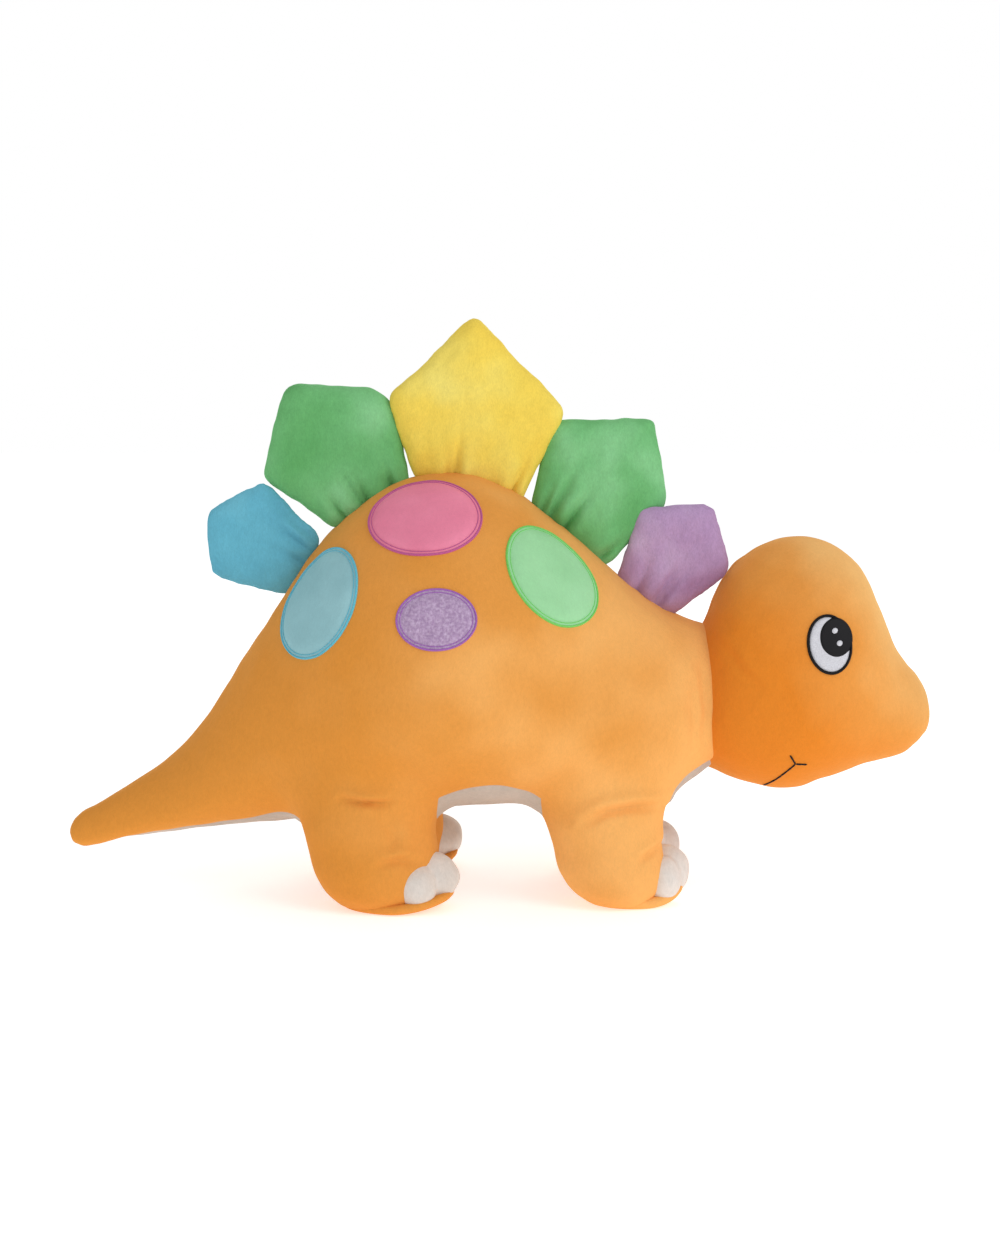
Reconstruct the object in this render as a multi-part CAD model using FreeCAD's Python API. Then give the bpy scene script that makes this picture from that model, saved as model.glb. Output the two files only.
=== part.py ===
import FreeCAD, Part
import math
import os

# Stuffed stegosaurus, standing on four feet. Millimetres, +Z up, head towards +X, right side at -Y.
# The origin is on the floor under the middle of the toy.

Vector = FreeCAD.Vector

# ---- cloth and clearances ----
CLOTH = 2.0                 # thickness of the pile cloth, pressed
CLOTH_GAP = 0.2             # between the cloth and its stuffing
STUFFING_INSET = CLOTH + CLOTH_GAP
MOTION_GAP = 1.0            # least gap between pieces that move against each other
PATCH_RISE = 1.0            # how far a sewn patch stands off the cloth
FAR = 400.0                 # larger than the whole toy

# ---- cross-sections of body and head: an egg that is widest below its middle ----
RING_POINTS = 16
WIDEST_AT = 0.38            # height of the widest place, as a share of the section's height
UPPER_POWER = 1.0           # 1 is an ellipse
LOWER_POWER = 0.84          # less than 1 is squarer

# body and tail: x, underside, back, half width
BODY_RINGS = [
    (-250, 27, 40, 6),
    (-236, 26, 50.5, 12),
    (-216, 30, 62, 17),
    (-194, 33, 77, 23),
    (-170, 36, 103, 33),
    (-148, 38, 138, 43),
    (-127, 41, 169.5, 54),
    (-105, 44, 202, 67),
    (-75, 47, 229.5, 83),
    (-35, 48, 243.5, 92),
    (5, 49, 236, 88),
    (40, 50, 210, 77),
    (72, 50, 183, 66),
    (95, 53, 166.5, 54),
    (115, 66, 158, 43),
    (138, 70, 154, 40),
]
# head: x, chin, crown, half width
HEAD_RINGS = [
    (108, 82, 146, 32),
    (119, 74, 154.5, 39.5),
    (128, 70, 177, 48),
    (142, 63.5, 195, 55),
    (160, 60, 204.5, 59),
    (180, 62, 206.5, 60),
    (198, 69, 200, 57),
    (213, 73, 186, 51),
    (224, 76, 158, 44),
    (236, 80, 137.5, 38),
    (246, 88, 126, 29),
    (251, 100, 114, 12),
]

# ---- neck: everything there is round about one point, so that the head turns and nods on it ----
NECK_PIVOT = Vector(80, 0, 112)
NECK_RADIUS = 60.0
NECK_BALL_DEPTH = 12.0      # thickness of the cap of stuffing in the neck
NECK_BALL_ANGLE = 36.0      # half angle of that cap, degrees
NECK_TURN = 12.0            # degrees either way
NECK_START_X = NECK_PIVOT.x + 5
NECK_SPARE_ANGLE = 2.0      # degrees left free at the end of a turn

# ---- tail: swings on an upright line ----
TAIL_AXIS_X = -112.0
TAIL_RADIUS = 48.0
TAIL_START_X = -141.0

# seam between the coloured sides and the pale underside: x, z
SEAM_LINE = [
    (-FAR, 30), (-250, 32), (-195, 38), (-150, 48), (-110, 58), (-60, 62),
    (40, 62), (94, 60), (106, 68), (125, 80), (FAR, 80),
]

# ---- legs ----
LEGS = {
    "rear": dict(hip=(-70, 42, 80), drum=(42, 25), socket=44, flare=52, flare_top=66.5,
                 foot=(-66, 46), foot_half=(33, 28), top_half=(36, 24), knee_half=(37, 29),
                 sole_x=-61, sole_half=(38, 30), toe_tip=-22, toe_radius=15),
    "front": dict(hip=(61, 37, 76), drum=(35, 20), socket=37, flare=46, flare_top=65,
                  foot=(64, 41), foot_half=(27, 25), top_half=(30, 19), knee_half=(31, 25),
                  sole_x=70, sole_half=(35, 27), toe_tip=106, toe_radius=14),
}
LEG_KNEE_Z = 48.0           # height of the leg's widest section
LEG_TOP_DROP = 8.0          # from the hip's axis down to the top of the leg's shaft
LEG_BULGE = 1.0             # how much the leg swells between sole and knee
HIP_ROUNDING = 0.85         # rounding of the hip's drum, as a share of its half width
SOLE_THICK = 4.0
TOE_SPREAD = 1.05           # from one toe's centre to the next, in toe radii
TOE_SINK = 1.0              # how far a toe's round underside is cut off by the sole
TOE_SETBACK = 6.0           # how far the outer toes stand behind the middle one

# ---- plates along the back: corners x, z from the base round, in side view ----
PLATES = {
    "blue": dict(corners=[(-118, 174), (-164, 184), (-166, 220), (-137, 234), (-103, 210)],
                 half=8.5),
    "green_rear": dict(corners=[(-93, 211), (-132, 241), (-119, 291), (-67, 289), (-55, 237)],
                       half=9.5),
    "yellow": dict(corners=[(-49, 238), (-58, 286), (-12.5, 334.5), (33, 279), (11, 228)],
                   half=10.0),
    "green_front": dict(corners=[(20, 223), (35, 269), (88, 272), (95, 226), (63, 194)],
                        half=9.5),
    "purple": dict(corners=[(73, 183), (88, 221), (120, 222), (128, 187), (101, 161)],
                   half=8.0),
}
PLATE_CORNER = 9.0          # corner radius
PLATE_GAP = 3.8             # from the back to the foot of a plate, so that it can tilt
PLATE_FLAT = 0.45           # share of the outline that stays at full thickness
PLATE_INSET_SHARE = 1.3     # the sides of a pentagon draw in more than its corners
PLATE_LAYERS = (-90, -60, -30, 0, 30, 60, 90)

# ---- sewn patches: middle x, z, half length, half width, tilt in degrees from +X ----
SPOTS = {
    "pink": (-40.5, 219, 31.5, 19, 5),
    "light_blue": (-99, 173, 33, 19, 60),
    "green": (29, 190, 33.5, 21, -47),
    "lilac": (-33, 167, 22.5, 17, 0),
}
SPOT_BORDER = 3.2           # width of the satin stitching round a patch

# ---- eyes and mouth ----
EYE = (185.5, 150.5, 17.5, 13.0, 100)
EYE_OUTLINE = 1.8
PUPIL = (189.5, 153.5, 11.5, 9.5, 90)
GLINTS = [(188.5, 158, 2.0), (191.5, 150, 2.0)]
NEARLY_ROUND = 0.999        # an oval needs one half longer than the other
MOUTH_STROKES = [[(151, 61), (168, 80)], [(163, 83), (168, 80)], [(168, 80), (174, 79)]]
MOUTH_THREAD = 1.6


def sign_power(value, power):
    return math.copysign(abs(value) ** power, value)


def egg_ring(station, inset):
    """A closed curve across the body at one station, drawn in by the inset."""
    x, bottom, top, half_width = station
    low = bottom + inset
    high = top - inset
    half = half_width - inset
    widest = low + WIDEST_AT * (high - low)
    points = []
    for step in range(RING_POINTS):
        angle = -math.pi / 2 + 2 * math.pi * step / RING_POINTS
        power = UPPER_POWER if math.sin(angle) >= 0 else LOWER_POWER
        reach = high - widest if math.sin(angle) >= 0 else widest - low
        y = half * sign_power(math.cos(angle), power)
        z = widest + reach * sign_power(math.sin(angle), power)
        points.append(Vector(x, y, z))
    curve = Part.BSplineCurve()
    even = [float(step) for step in range(RING_POINTS + 1)]
    curve.interpolate(Points=points, PeriodicFlag=True, Parameters=even)
    return Part.Wire(curve.toShape())


def solid_loft(wires, straight=False):
    """A solid through the wires, with its faces turned outwards."""
    solid = Part.makeLoft(wires, True, straight)
    return solid if solid.Volume > 0 else solid.reversed()


def egg_loft(stations, inset=0.0):
    return solid_loft([egg_ring(station, inset) for station in stations])


def half_space(sign_axis, place):
    """A large block on one side of a plane: sign_axis is like '+x' or '-y'."""
    corner = Vector(-FAR, -FAR, -FAR)
    block = Part.makeBox(2 * FAR, 2 * FAR, 2 * FAR, corner)
    shift = place + FAR if sign_axis[0] == "+" else place - FAR
    direction = {"x": Vector(1, 0, 0), "y": Vector(0, 1, 0), "z": Vector(0, 0, 1)}[sign_axis[1]]
    block.translate(direction * shift)
    return block


def ball(radius, centre):
    return Part.makeSphere(radius, centre)


def upright_cylinder(radius, x):
    return Part.makeCylinder(radius, 2 * FAR, Vector(x, 0, -FAR))


def side_prism(face_wire):
    """A flat outline in the XZ plane, pushed right across the toy."""
    face = Part.Face(face_wire)
    face.translate(Vector(0, -FAR, 0))
    return face.extrude(Vector(0, 2 * FAR, 0))


def polygon(points):
    corners = [Vector(x, 0, z) for x, z in points]
    return Part.makePolygon(corners + corners[:1])


def below_seam():
    return side_prism(polygon(SEAM_LINE + [(FAR, -FAR), (-FAR, -FAR)]))


def split_cover(cover, names, underside_name=None):
    """Cut a cover into its right and left panels, and its underside where it has one."""
    pieces = {}
    if underside_name:
        below = below_seam()
        pieces[underside_name] = cover.common(below)
        cover = cover.cut(below)
    pieces[names[0]] = cover.common(half_space("-y", 0))
    pieces[names[1]] = cover.common(half_space("+y", 0))
    return pieces


def neck_cap(inner, outer, half_angle):
    """Part of a thick ball about the neck's pivot, facing the head."""
    turn = math.radians(half_angle)

    def on_ball(radius, angle):
        return NECK_PIVOT + Vector(radius * math.cos(angle), 0, radius * math.sin(angle))

    outer_arc = Part.Arc(on_ball(outer, 0), on_ball(outer, turn / 2), on_ball(outer, turn)).toShape()
    side = Part.makeLine(on_ball(outer, turn), on_ball(inner, turn))
    inner_arc = Part.Arc(on_ball(inner, turn), on_ball(inner, turn / 2), on_ball(inner, 0)).toShape()
    axis = Part.makeLine(on_ball(inner, 0), on_ball(outer, 0))
    face = Part.Face(Part.Wire([outer_arc, side, inner_arc, axis]))
    return face.revolve(NECK_PIVOT, Vector(1, 0, 0), 360)


def hip_drum(hip, radius, half_width):
    """A round-edged drum of stuffing that turns about the hip's axis, which runs along Y."""
    x, y, z = hip
    drum = Part.makeCylinder(radius, 2 * half_width, Vector(x, y - half_width, z), Vector(0, 1, 0))
    rims = [edge for edge in drum.Edges if edge.Closed]
    return drum.makeFillet(HIP_ROUNDING * half_width, rims)


def socket(leg):
    """The room that a leg's top needs in the body, over its whole swing."""
    x, y, z = leg["hip"]
    room = leg["socket"] - leg["drum"][0]
    drum_room = hip_drum(leg["hip"], leg["socket"], leg["drum"][1] + room)
    inner_side = y - leg["drum"][1] - room
    flare = Part.makeCylinder(leg["flare"], FAR, Vector(x, inner_side, z), Vector(0, 1, 0))
    flare = flare.common(half_space("-z", leg["flare_top"]))
    return drum_room.fuse(flare)


def mirrored(shape):
    return shape.mirror(Vector(0, 0, 0), Vector(0, 1, 0))


def domed_body(inset):
    """The body with a round end towards the head and another towards the tail."""
    neck_room = half_space("+x", NECK_START_X).cut(ball(NECK_RADIUS - inset, NECK_PIVOT))
    tail_room = half_space("-x", TAIL_AXIS_X).cut(upright_cylinder(TAIL_RADIUS - inset, TAIL_AXIS_X))
    return egg_loft(BODY_RINGS, inset).cut([neck_room, tail_room])


def torso_solid(inset):
    """The body between neck and tail, with room for the neck's ball and the legs."""
    neck_seat = neck_cap(NECK_RADIUS - NECK_BALL_DEPTH - MOTION_GAP, NECK_RADIUS + CLOTH,
                         NECK_BALL_ANGLE + NECK_TURN + NECK_SPARE_ANGLE)
    tools = [neck_seat]
    for leg in LEGS.values():
        seat = socket(leg)
        tools += [seat, mirrored(seat)]
    return domed_body(inset).cut(tools)


def make_torso():
    cover = torso_solid(0).cut(domed_body(CLOTH))
    pieces = split_cover(cover, ("side_panel_right", "side_panel_left"), "belly_panel")
    pieces["torso_stuffing"] = torso_solid(STUFFING_INSET)
    return pieces


def tail_solid(inset):
    front = half_space("+x", TAIL_START_X - inset)
    seat = upright_cylinder(TAIL_RADIUS + MOTION_GAP + inset, TAIL_AXIS_X)
    return egg_loft(BODY_RINGS, inset).cut([front, seat])


def make_tail():
    cover = tail_solid(0).cut(tail_solid(CLOTH))
    pieces = split_cover(cover, ("tail_panel_right", "tail_panel_left"), "tail_underside")
    pieces["tail_stuffing"] = tail_solid(STUFFING_INSET)
    return pieces


def head_solid(inset):
    seat = ball(NECK_RADIUS + MOTION_GAP + inset, NECK_PIVOT)
    return egg_loft(HEAD_RINGS, inset).cut(seat)


def make_head():
    cover = head_solid(0).cut(head_solid(CLOTH))
    pieces = split_cover(cover, ("head_panel_right", "head_panel_left"))
    pieces["head_stuffing"] = head_solid(STUFFING_INSET)
    return pieces


def make_neck():
    inner = NECK_RADIUS - NECK_BALL_DEPTH
    return {"neck_stuffing": neck_cap(inner, NECK_RADIUS - CLOTH_GAP, NECK_BALL_ANGLE)}


def oval_wire(centre_x, centre_y, z, half_x, half_y):
    oval = Part.Ellipse(Vector(centre_x, centre_y, z), half_x, half_y)
    return Part.Wire(oval.toShape())


def leg_solid(leg, inset):
    hip_x, hip_y, hip_z = leg["hip"]
    foot_x, foot_y = leg["foot"]
    foot_half = [half - inset for half in leg["foot_half"]]
    knee_half = [half - inset for half in leg["knee_half"]]
    top_half = [half - inset for half in leg["top_half"]]
    low = SOLE_THICK + inset
    middle = (SOLE_THICK + LEG_KNEE_Z) / 2
    middle_half = [(foot + knee) / 2 + LEG_BULGE for foot, knee in zip(foot_half, knee_half)]
    wires = [
        oval_wire(foot_x, foot_y, low, *foot_half),
        oval_wire((foot_x + hip_x) / 2, foot_y, middle, *middle_half),
        oval_wire(hip_x, foot_y, LEG_KNEE_Z, *knee_half),
        oval_wire(hip_x, hip_y, hip_z - LEG_TOP_DROP, *top_half),
    ]
    shaft = solid_loft(wires)
    top = hip_drum(leg["hip"], leg["drum"][0] - inset, leg["drum"][1] - inset)
    return shaft.fuse(top)


def leg_toes(leg):
    """Three round toes in front of the foot, as one sewn piece."""
    radius = leg["toe_radius"]
    middle_x = leg["toe_tip"] - radius
    foot_y = leg["foot"][1]
    z = SOLE_THICK + radius - TOE_SINK
    lobes = []
    for step in (-1, 0, 1):
        x = middle_x - abs(step) * TOE_SETBACK
        lobes.append(ball(radius, Vector(x, foot_y + step * TOE_SPREAD * radius, z)))
    toes = lobes[0].fuse(lobes[1:])
    return toes.cut([leg_solid(leg, 0), half_space("-z", SOLE_THICK)])


def make_leg(name, leg):
    outer = leg_solid(leg, 0)
    foot_y = leg["foot"][1]
    sole = Part.Face(oval_wire(leg["sole_x"], foot_y, 0, *leg["sole_half"]))
    pieces = {
        "cover": outer.cut(leg_solid(leg, CLOTH)),
        "stuffing": leg_solid(leg, STUFFING_INSET),
        "toes": leg_toes(leg),
        "sole": sole.extrude(Vector(0, 0, SOLE_THICK)),
    }
    nodes = {}
    for part, shape in pieces.items():
        nodes[f"{name}_leg_left_{part}"] = shape
        nodes[f"{name}_leg_right_{part}"] = mirrored(shape)
    return nodes


def rounded_outline(points, radius, y):
    """A polygon in a plane across Y, with every corner rounded."""
    corners = [Vector(x, y, z) for x, z in points]
    count = len(corners)
    starts = []
    ends = []
    arcs = []
    for index, corner in enumerate(corners):
        back = (corners[index - 1] - corner).normalize()
        ahead = (corners[(index + 1) % count] - corner).normalize()
        half_turn = back.getAngle(ahead) / 2
        cut = radius / math.tan(half_turn)
        to_middle = (back + ahead).normalize()
        middle = corner + to_middle * (radius / math.sin(half_turn) - radius)
        starts.append(corner + back * cut)
        ends.append(corner + ahead * cut)
        arcs.append(Part.Arc(starts[-1], middle, ends[-1]).toShape())
    edges = []
    for index in range(count):
        edges.append(arcs[index])
        edges.append(Part.makeLine(ends[index], starts[(index + 1) % count]))
    return Part.Wire(edges)


def plate_solid(plate, inset):
    """A pillow between two equal outlines that meet in a seam all round."""
    corners = plate["corners"]
    centre_x = sum(x for x, z in corners) / len(corners)
    centre_z = sum(z for x, z in corners) / len(corners)
    reach = max(math.hypot(x - centre_x, z - centre_z) for x, z in corners)
    wires = []
    for layer in PLATE_LAYERS:
        swing = math.radians(layer)
        share = PLATE_FLAT + (1 - PLATE_FLAT) * math.cos(swing)
        share *= 1 - PLATE_INSET_SHARE * inset / reach
        points = [(centre_x + (x - centre_x) * share, centre_z + (z - centre_z) * share)
                  for x, z in corners]
        wires.append(rounded_outline(points, PLATE_CORNER * share, (plate["half"] - inset) * math.sin(swing)))
    pillow = solid_loft(wires, straight=True)
    return pillow.cut(egg_loft(BODY_RINGS, -PLATE_GAP - inset))


def make_plate(name, plate):
    outer = plate_solid(plate, 0)
    return {
        f"plate_{name}_cover": outer.cut(plate_solid(plate, CLOTH)),
        f"plate_{name}_stuffing": plate_solid(plate, STUFFING_INSET),
    }


def oval_prism(x, z, half_long, half_short, tilt, grow=0.0):
    """An oval in side view, pushed right across the toy."""
    oval = Part.Ellipse(Vector(0, 0, 0), half_long + grow, half_short + grow)
    wire = Part.Wire(oval.toShape())
    wire.rotate(Vector(0, 0, 0), Vector(0, 0, 1), tilt)
    wire.rotate(Vector(0, 0, 0), Vector(1, 0, 0), 90)
    wire.translate(Vector(x, 0, z))
    return side_prism(wire)


def make_spots():
    """Cloth patches on both flanks, each inside a ring of satin stitching."""
    band = egg_loft(BODY_RINGS, -PATCH_RISE).cut(egg_loft(BODY_RINGS))
    nodes = {}
    for name, spot in SPOTS.items():
        whole = oval_prism(*spot)
        middle = oval_prism(*spot, grow=-SPOT_BORDER)
        nodes[f"spot_{name}"] = band.common(middle)
        nodes[f"spot_{name}_border"] = band.common(whole.cut(middle))
    return nodes


def stroke_prism(start, end):
    """A straight stitch line in side view, with round ends."""
    half = MOUTH_THREAD / 2
    first = Vector(start[0], 0, start[1])
    last = Vector(end[0], 0, end[1])
    along = (last - first).normalize() * half
    across = Vector(-along.z, 0, along.x)
    wire = Part.Wire([
        Part.makeLine(first + across, last + across),
        Part.Arc(last + across, last + along, last - across).toShape(),
        Part.makeLine(last - across, first - across),
        Part.Arc(first - across, first - along, first + across).toShape(),
    ])
    return side_prism(wire)


def make_face():
    """Embroidered eyes and mouth on both sides of the head."""
    band = egg_loft(HEAD_RINGS, -PATCH_RISE).cut(egg_loft(HEAD_RINGS))
    glints = [oval_prism(x, z, half, half * NEARLY_ROUND, 0) for x, z, half in GLINTS]
    glints = glints[0].fuse(glints[1:])
    inside = oval_prism(*EYE, grow=-EYE_OUTLINE)
    pupil = oval_prism(*PUPIL)
    black = oval_prism(*EYE).cut(inside).fuse(pupil.common(oval_prism(*EYE))).cut(glints)
    white = inside.cut(pupil)
    strokes = [stroke_prism(start, end) for start, end in MOUTH_STROKES]
    mouth = strokes[0].fuse(strokes[1:])
    nodes = {}
    for side, sign in (("right", "-y"), ("left", "+y")):
        half_band = band.common(half_space(sign, 0))
        nodes[f"eye_white_{side}"] = half_band.common(white)
        nodes[f"eye_black_{side}"] = half_band.common(black)
        nodes[f"eye_glints_{side}"] = half_band.common(glints)
        nodes[f"mouth_{side}"] = half_band.common(mouth)
    return nodes


def build():
    nodes = {}
    nodes.update(make_torso())
    nodes.update(make_neck())
    nodes.update(make_head())
    nodes.update(make_tail())
    for name, leg in LEGS.items():
        nodes.update(make_leg(name, leg))
    for name, plate in PLATES.items():
        nodes.update(make_plate(name, plate))
    nodes.update(make_spots())
    nodes.update(make_face())
    return nodes


def save(nodes):
    os.makedirs("parts", exist_ok=True)
    for name, shape in nodes.items():
        solids = shape.Solids
        whole = solids[0] if len(solids) == 1 else Part.makeCompound(solids)
        whole.exportStep(f"parts/{name}.step")
        print(f"{name}: {len(solids)} solid(s), {whole.Volume / 1000:.2f} cm3, valid {whole.isValid()}")


save(build())
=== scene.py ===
"""Looks of a stuffed stegosaurus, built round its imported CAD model.

Lengths are in millimetres until make_piece() or metres() turns them into metres. The head is towards +X, the
right side is at -Y and the floor is z = 0."""
import itertools
import math

import bpy
import numpy as np
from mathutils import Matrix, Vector
from mathutils.bvhtree import BVHTree


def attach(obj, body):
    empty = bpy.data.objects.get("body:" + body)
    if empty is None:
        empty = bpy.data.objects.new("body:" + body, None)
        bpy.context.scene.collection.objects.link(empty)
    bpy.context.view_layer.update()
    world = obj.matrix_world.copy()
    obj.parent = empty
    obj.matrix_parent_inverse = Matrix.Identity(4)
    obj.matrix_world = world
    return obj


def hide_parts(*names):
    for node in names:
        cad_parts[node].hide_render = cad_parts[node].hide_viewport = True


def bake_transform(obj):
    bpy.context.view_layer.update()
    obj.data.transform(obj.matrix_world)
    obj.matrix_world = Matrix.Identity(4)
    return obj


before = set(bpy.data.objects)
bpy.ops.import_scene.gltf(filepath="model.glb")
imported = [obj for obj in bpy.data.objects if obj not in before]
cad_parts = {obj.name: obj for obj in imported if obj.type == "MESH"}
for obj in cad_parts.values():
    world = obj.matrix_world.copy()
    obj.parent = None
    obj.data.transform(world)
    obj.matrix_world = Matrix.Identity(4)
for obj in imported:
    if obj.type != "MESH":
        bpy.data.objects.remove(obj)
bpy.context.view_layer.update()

MM = 0.001
SIDES = {"right": -1, "left": 1}

# ---- cross-sections: an egg, widest below its middle. x, underside, top, half width ----
WIDEST_AT = 0.38
UPPER_POWER = 2.0
LOWER_POWER = 2.2
BODY_RINGS = [
    (-251.5, 32, 35, 1.5), (-250, 28.5, 38, 5.5), (-246, 25.5, 42.5, 8.5), (-236, 25, 48.5, 12),
    (-216, 29.5, 60.5, 17), (-194, 33, 75, 23), (-170, 36.5, 101, 33), (-148, 39, 136, 43),
    (-127, 41.5, 167.5, 54), (-105, 44, 200.5, 67), (-75, 48, 229, 83), (-35, 51, 243.5, 92),
    (5, 52.5, 236, 88), (40, 51.5, 210, 77), (72, 51, 183, 66), (95, 55, 166.5, 55),
    (113, 66, 158.5, 45), (121, 72, 156, 41), (138, 80, 148, 34),
]
HEAD_RINGS = [
    (110, 90, 140, 24), (115, 80, 150, 34), (120, 74.5, 157, 40), (127, 70.5, 174, 47),
    (135, 66.5, 188, 52), (145, 63.5, 197, 56), (160, 60.5, 204.5, 59), (174, 61.5, 206.5, 60),
    (188, 66.5, 204.5, 58.5), (201, 71, 197.5, 55), (212, 75, 185.5, 50), (220, 77, 167, 46),
    (228, 79, 147.5, 42), (237, 83.5, 134, 37), (243.5, 90, 126, 31), (247.8, 97, 117.5, 22),
    (249.3, 103, 111.5, 10),
]

# ---- legs: height, middle x, middle y, half length, half width ----
LEG_RINGS = {
    "rear": [(1.5, -65, 46, 25, 22), (8, -66.5, 46, 31, 28), (18, -68, 46, 35, 31),
             (34, -70.7, 45, 36.8, 31.5), (50, -73, 44, 37.8, 31.5), (75, -72, 42, 37, 29),
             (100, -70, 40, 28, 20)],
    "front": [(1.5, 70, 41, 17.5, 19), (8, 67.5, 41, 24.5, 24), (18, 65.5, 41, 29.5, 26),
              (34, 62.7, 40, 31.5, 26), (50, 60.5, 39, 34, 26), (70, 60.5, 37, 33.5, 24),
              (95, 61, 35, 24, 16)],
}
LEG_BLEND = 16.0            # how softly a leg runs into the body
BODY_BOX = ((-256, -100, -4), (142, 100, 250))
BODY_STEP = 3.2             # mesh step
HEAD_BOX = ((104, -66, 52), (256, 66, 214))
HEAD_STEP = 2.8
HEAD_TUCK = 4               # how far the head's skin reaches into the body
LEG_CUT_Z = 41.0            # legs are pieces of their own below this height
LEG_CUT_X = -116.0          # and in front of this place, behind which only the tail hangs that low

# ---- where the skin is cut at the neck ----
NECK_CUT_X = 90.0           # the skin in front of this is a piece of its own

# ---- slow waviness of the cloth: height, size, seed ----
BODY_WAVES = [(0.5, 60, 3), (0.18, 18, 4)]
HEAD_WAVES = [(0.45, 55, 11), (0.15, 16, 12)]
TOE_WAVES = [(0.25, 14, 21)]
PLATE_WAVES = [(0.6, 34, 31), (0.25, 13, 32)]

# ---- seams ----
UNDERSIDE_LINE = [(-260, 20), (-236, 23.5), (-220, 29), (-205, 33), (-190, 36), (-165, 40), (-143, 45.5),
                  (-124, 51), (-108, 50), (-90, 52), (-45, 59), (-30, 66), (-12, 72), (5, 72), (18, 67),
                  (31, 57), (42, 50), (60, 44), (80, 46), (92, 51), (99, 62), (106, 71), (117, 78), (130, 82)]
LEG_SEAM_GAP = 1.5          # from a leg's own section to the seam round its root
BACK_SEAM_START = 3         # the seam along the back is kept this far above the underside
SEAM_WIDTH = 1.6
SEAM_DEPTH = 0.9
BACK_SEAM_SHARE = 0.6       # depth of the back's and the head's seams as a share of that
HEAD_SEAM_SHARE = 0.75

# ---- folds: side-view points x, z, then depth, width and lip height ----
FOLDS = [
    ([(-86, 67), (-75, 65), (-59, 64.5)], 3.2, 1.9, 2.4),
    ([(-62, 55), (-57, 46), (-60, 38)], 1.3, 3.0, 1.0),
    ([(-65, 30.5), (-55, 32.5), (-45, 30)], 2.4, 2.0, 1.6),
    ([(50, 52), (61, 58), (76, 60), (92, 58)], 3.6, 2.6, 3.0),
    ([(79, 29.5), (86, 33.5), (93, 36)], 2.2, 2.0, 1.5),
    ([(116, 90), (118, 112), (115, 136)], 2.0, 2.6, 0.9),
    ([(108, 82), (111.5, 102), (110, 128)], 1.9, 3.6, 0.9),
    ([(128, 148), (136, 136), (146, 127)], 1.0, 2.6, 0.6),
]
LIP_PLACE = 2.2             # from the fold to its lip, and the lip's width, as shares of the fold's width
LIP_WIDTH = 1.6

# ---- feet: ankle x, y; degrees the toes turn in; sole: forward shift, half sizes; toes: places, radii ----
FEET = {
    "rear": dict(ankle=(-68, 46), turn_in=-12.0, sole=(11, 33, 24.5), lobes=[
        ((31.5, 0, 18), (15.5, 12.5, 14.5)),
        ((25, 11.5, 15.5), (12, 12, 12.5)),
        ((27, -6.5, 16.5), (11, 10.5, 12.5)),
    ]),
    "front": dict(ankle=(64, 41), turn_in=14.0, sole=(15.5, 27.5, 21.5), lobes=[
        ((33.5, 1, 17.5), (13, 11, 15)),
        ((27.5, 11.5, 15.5), (10.5, 10.5, 13)),
        ((28, -10.5, 19), (11, 10.5, 16)),
    ]),
}
TOE_SOFTNESS = 1.8          # how softly one toe runs into the next
TOE_STEP = 2.2
TOE_ROOM = ((-32, -36), (20, 36))       # the mesh's box round the middle toe, x and y
TOE_TOP = 38
SOLE_TIP_LIFT = 6.5         # the sole curves up under the toes
SOLE_PROFILE = [(0.0, 0.0), (0.5, 0.0), (0.8, 0.0), (0.93, 0.6), (0.985, 2.0), (1.0, 3.6), (0.985, 5.0),
                (0.93, 6.0), (0.8, 6.4), (0.5, 6.6), (0.0, 6.6)]      # share of the half sizes, height

# ---- plates: corners x, z from the base round; half thickness; lean in degrees; gathers along the base ----
PLATES = {
    "blue": dict(corners=[(-119.5, 171), (-167, 184), (-168.5, 221.5), (-135, 240), (-101, 206)],
                 half=9.5, lean=-2.5, gathers=(0.55, 0.74, 0.9), colour="blue_plush"),
    "green_rear": dict(corners=[(-94, 210.5), (-137, 240.5), (-122, 294.5), (-71, 293), (-60, 284),
                                (-49.5, 234)],
                       half=11.5, lean=2.0, gathers=(0.2, 0.42, 0.5, 0.78), colour="green_plush"),
    "yellow": dict(corners=[(-48, 238), (-63.5, 287.5), (-13.3, 334.5), (39, 279.5), (13.5, 225)],
                   half=12.5, lean=-1.0, gathers=(0.3, 0.37, 0.86), colour="yellow_plush"),
    "green_front": dict(corners=[(17.5, 223), (29.5, 273), (91, 275.5), (99, 224), (61.5, 188)],
                        half=11.5, lean=3.0, gathers=(0.14, 0.24, 0.42, 0.88), colour="green_plush"),
    "purple": dict(corners=[(67, 177), (80.5, 224.5), (124, 226), (134.5, 186), (101.5, 159)],
                   half=9, lean=-4.5, gathers=(0.34, 0.62, 0.7), colour="purple_plush"),
}
PLATE_CORNER = 2.6          # softness of a plate's corners
PLATE_EDGE = 15.0           # how far in from its edge a plate reaches its thickness
PLATE_STEP = 3.0
PLATE_MARGIN = 6            # from the outline, and from the thickness, to the mesh's box
PLATE_SIDE_MARGIN = 5
PLATE_FLAT_SHARE = 0.74     # thickness before the stuffing swells it, as a share of the full one
SWELL = 3.5                 # the most that the stuffing moves the cloth
SWELL_PRESSURE = 4.0
SWELL_FRAMES = 20
SEWN_HEIGHT = 5.0           # the cloth below this is held by the seam it is sewn into
GATHER_START = 3            # height over the base at which the gathers begin to fade
GATHER_DEPTH = 0.85         # the most that a gather takes from the thickness, as a share
GATHER_FAN = 0.7            # how much the gathers spread as they rise
GATHER_REACH = (11, 19, 15)     # how high they go, by turns
GATHER_WIDTH = 2.2
GATHER_LIP = (5.5, 3.5, 0.35)   # the swelling beside a gather: how far away, width, share of the depth
BASE_PINCH = 0.3            # how much thinner the plate is at its seam, as a share, and how high that goes
PINCH_HEIGHT = 9

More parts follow.
